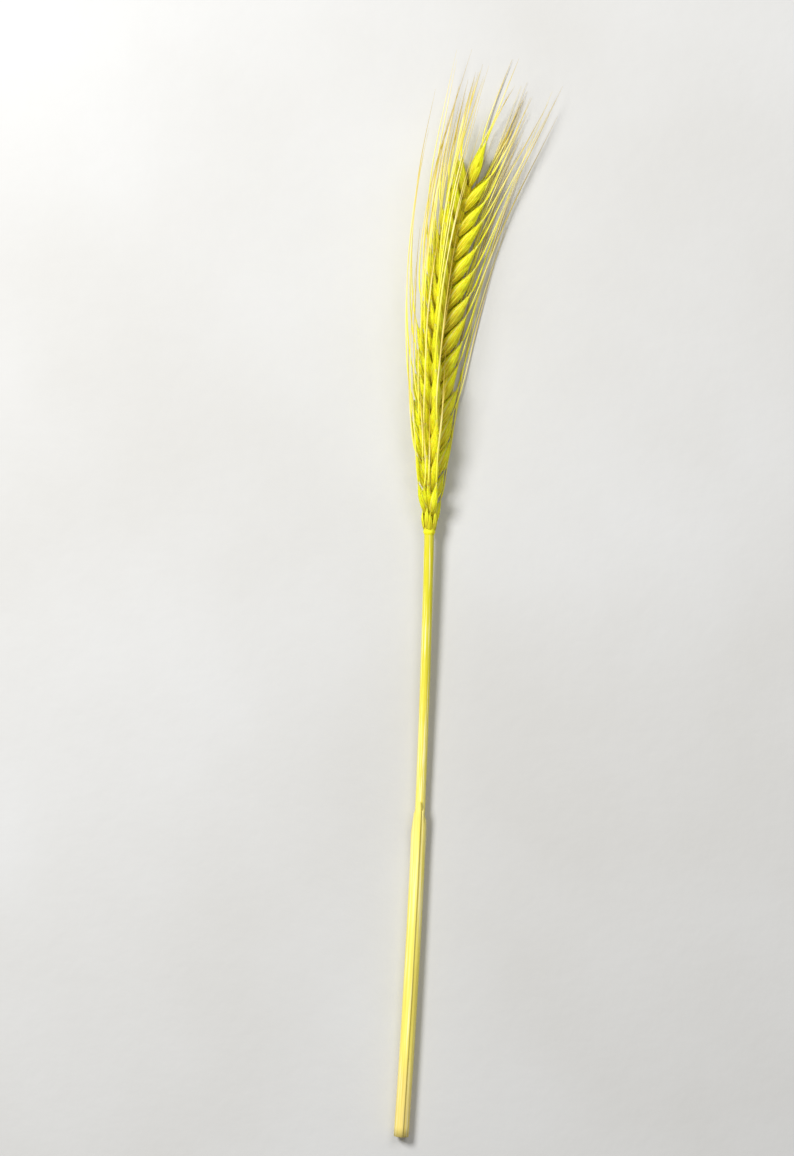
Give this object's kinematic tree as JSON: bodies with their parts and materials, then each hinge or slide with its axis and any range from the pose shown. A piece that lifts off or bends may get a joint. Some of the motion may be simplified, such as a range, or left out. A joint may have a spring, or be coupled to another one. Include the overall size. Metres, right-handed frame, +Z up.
{
  "type": "wheat ear",
  "caption": "Dried bearded wheat ear on its cut straw, with overlapping awned scales in two twisting rows and a leaf sheath round the lower straw, lying flat.",
  "frame": {"origin": "on the surface that the stalk lies on, under the middle of its bounding box", "axes": "+Y along the stalk from the straw's cut end to the awn tips, +Z up from the surface, +X to the right of the stalk seen from above"},
  "size_m": [0.0472, 0.3034, 0.0217],
  "materials": {
    "ear_scales": "dry papery chaff dyed lemon yellow, matte with a faint sheen, straw-coloured at the awn tips",
    "straw_skin": "smooth ribbed straw, satin, lemon yellow by the ear fading to cream straw",
    "dry_leaf": "dry leaf with parallel veins, matte, cream straw with yellow dye in the veins"
  },
  "bodies": {
    "root": {"ear": "ear_scales", "straw": "straw_skin", "leaf_sheath": "dry_leaf"}
  },
  "joints": []
}
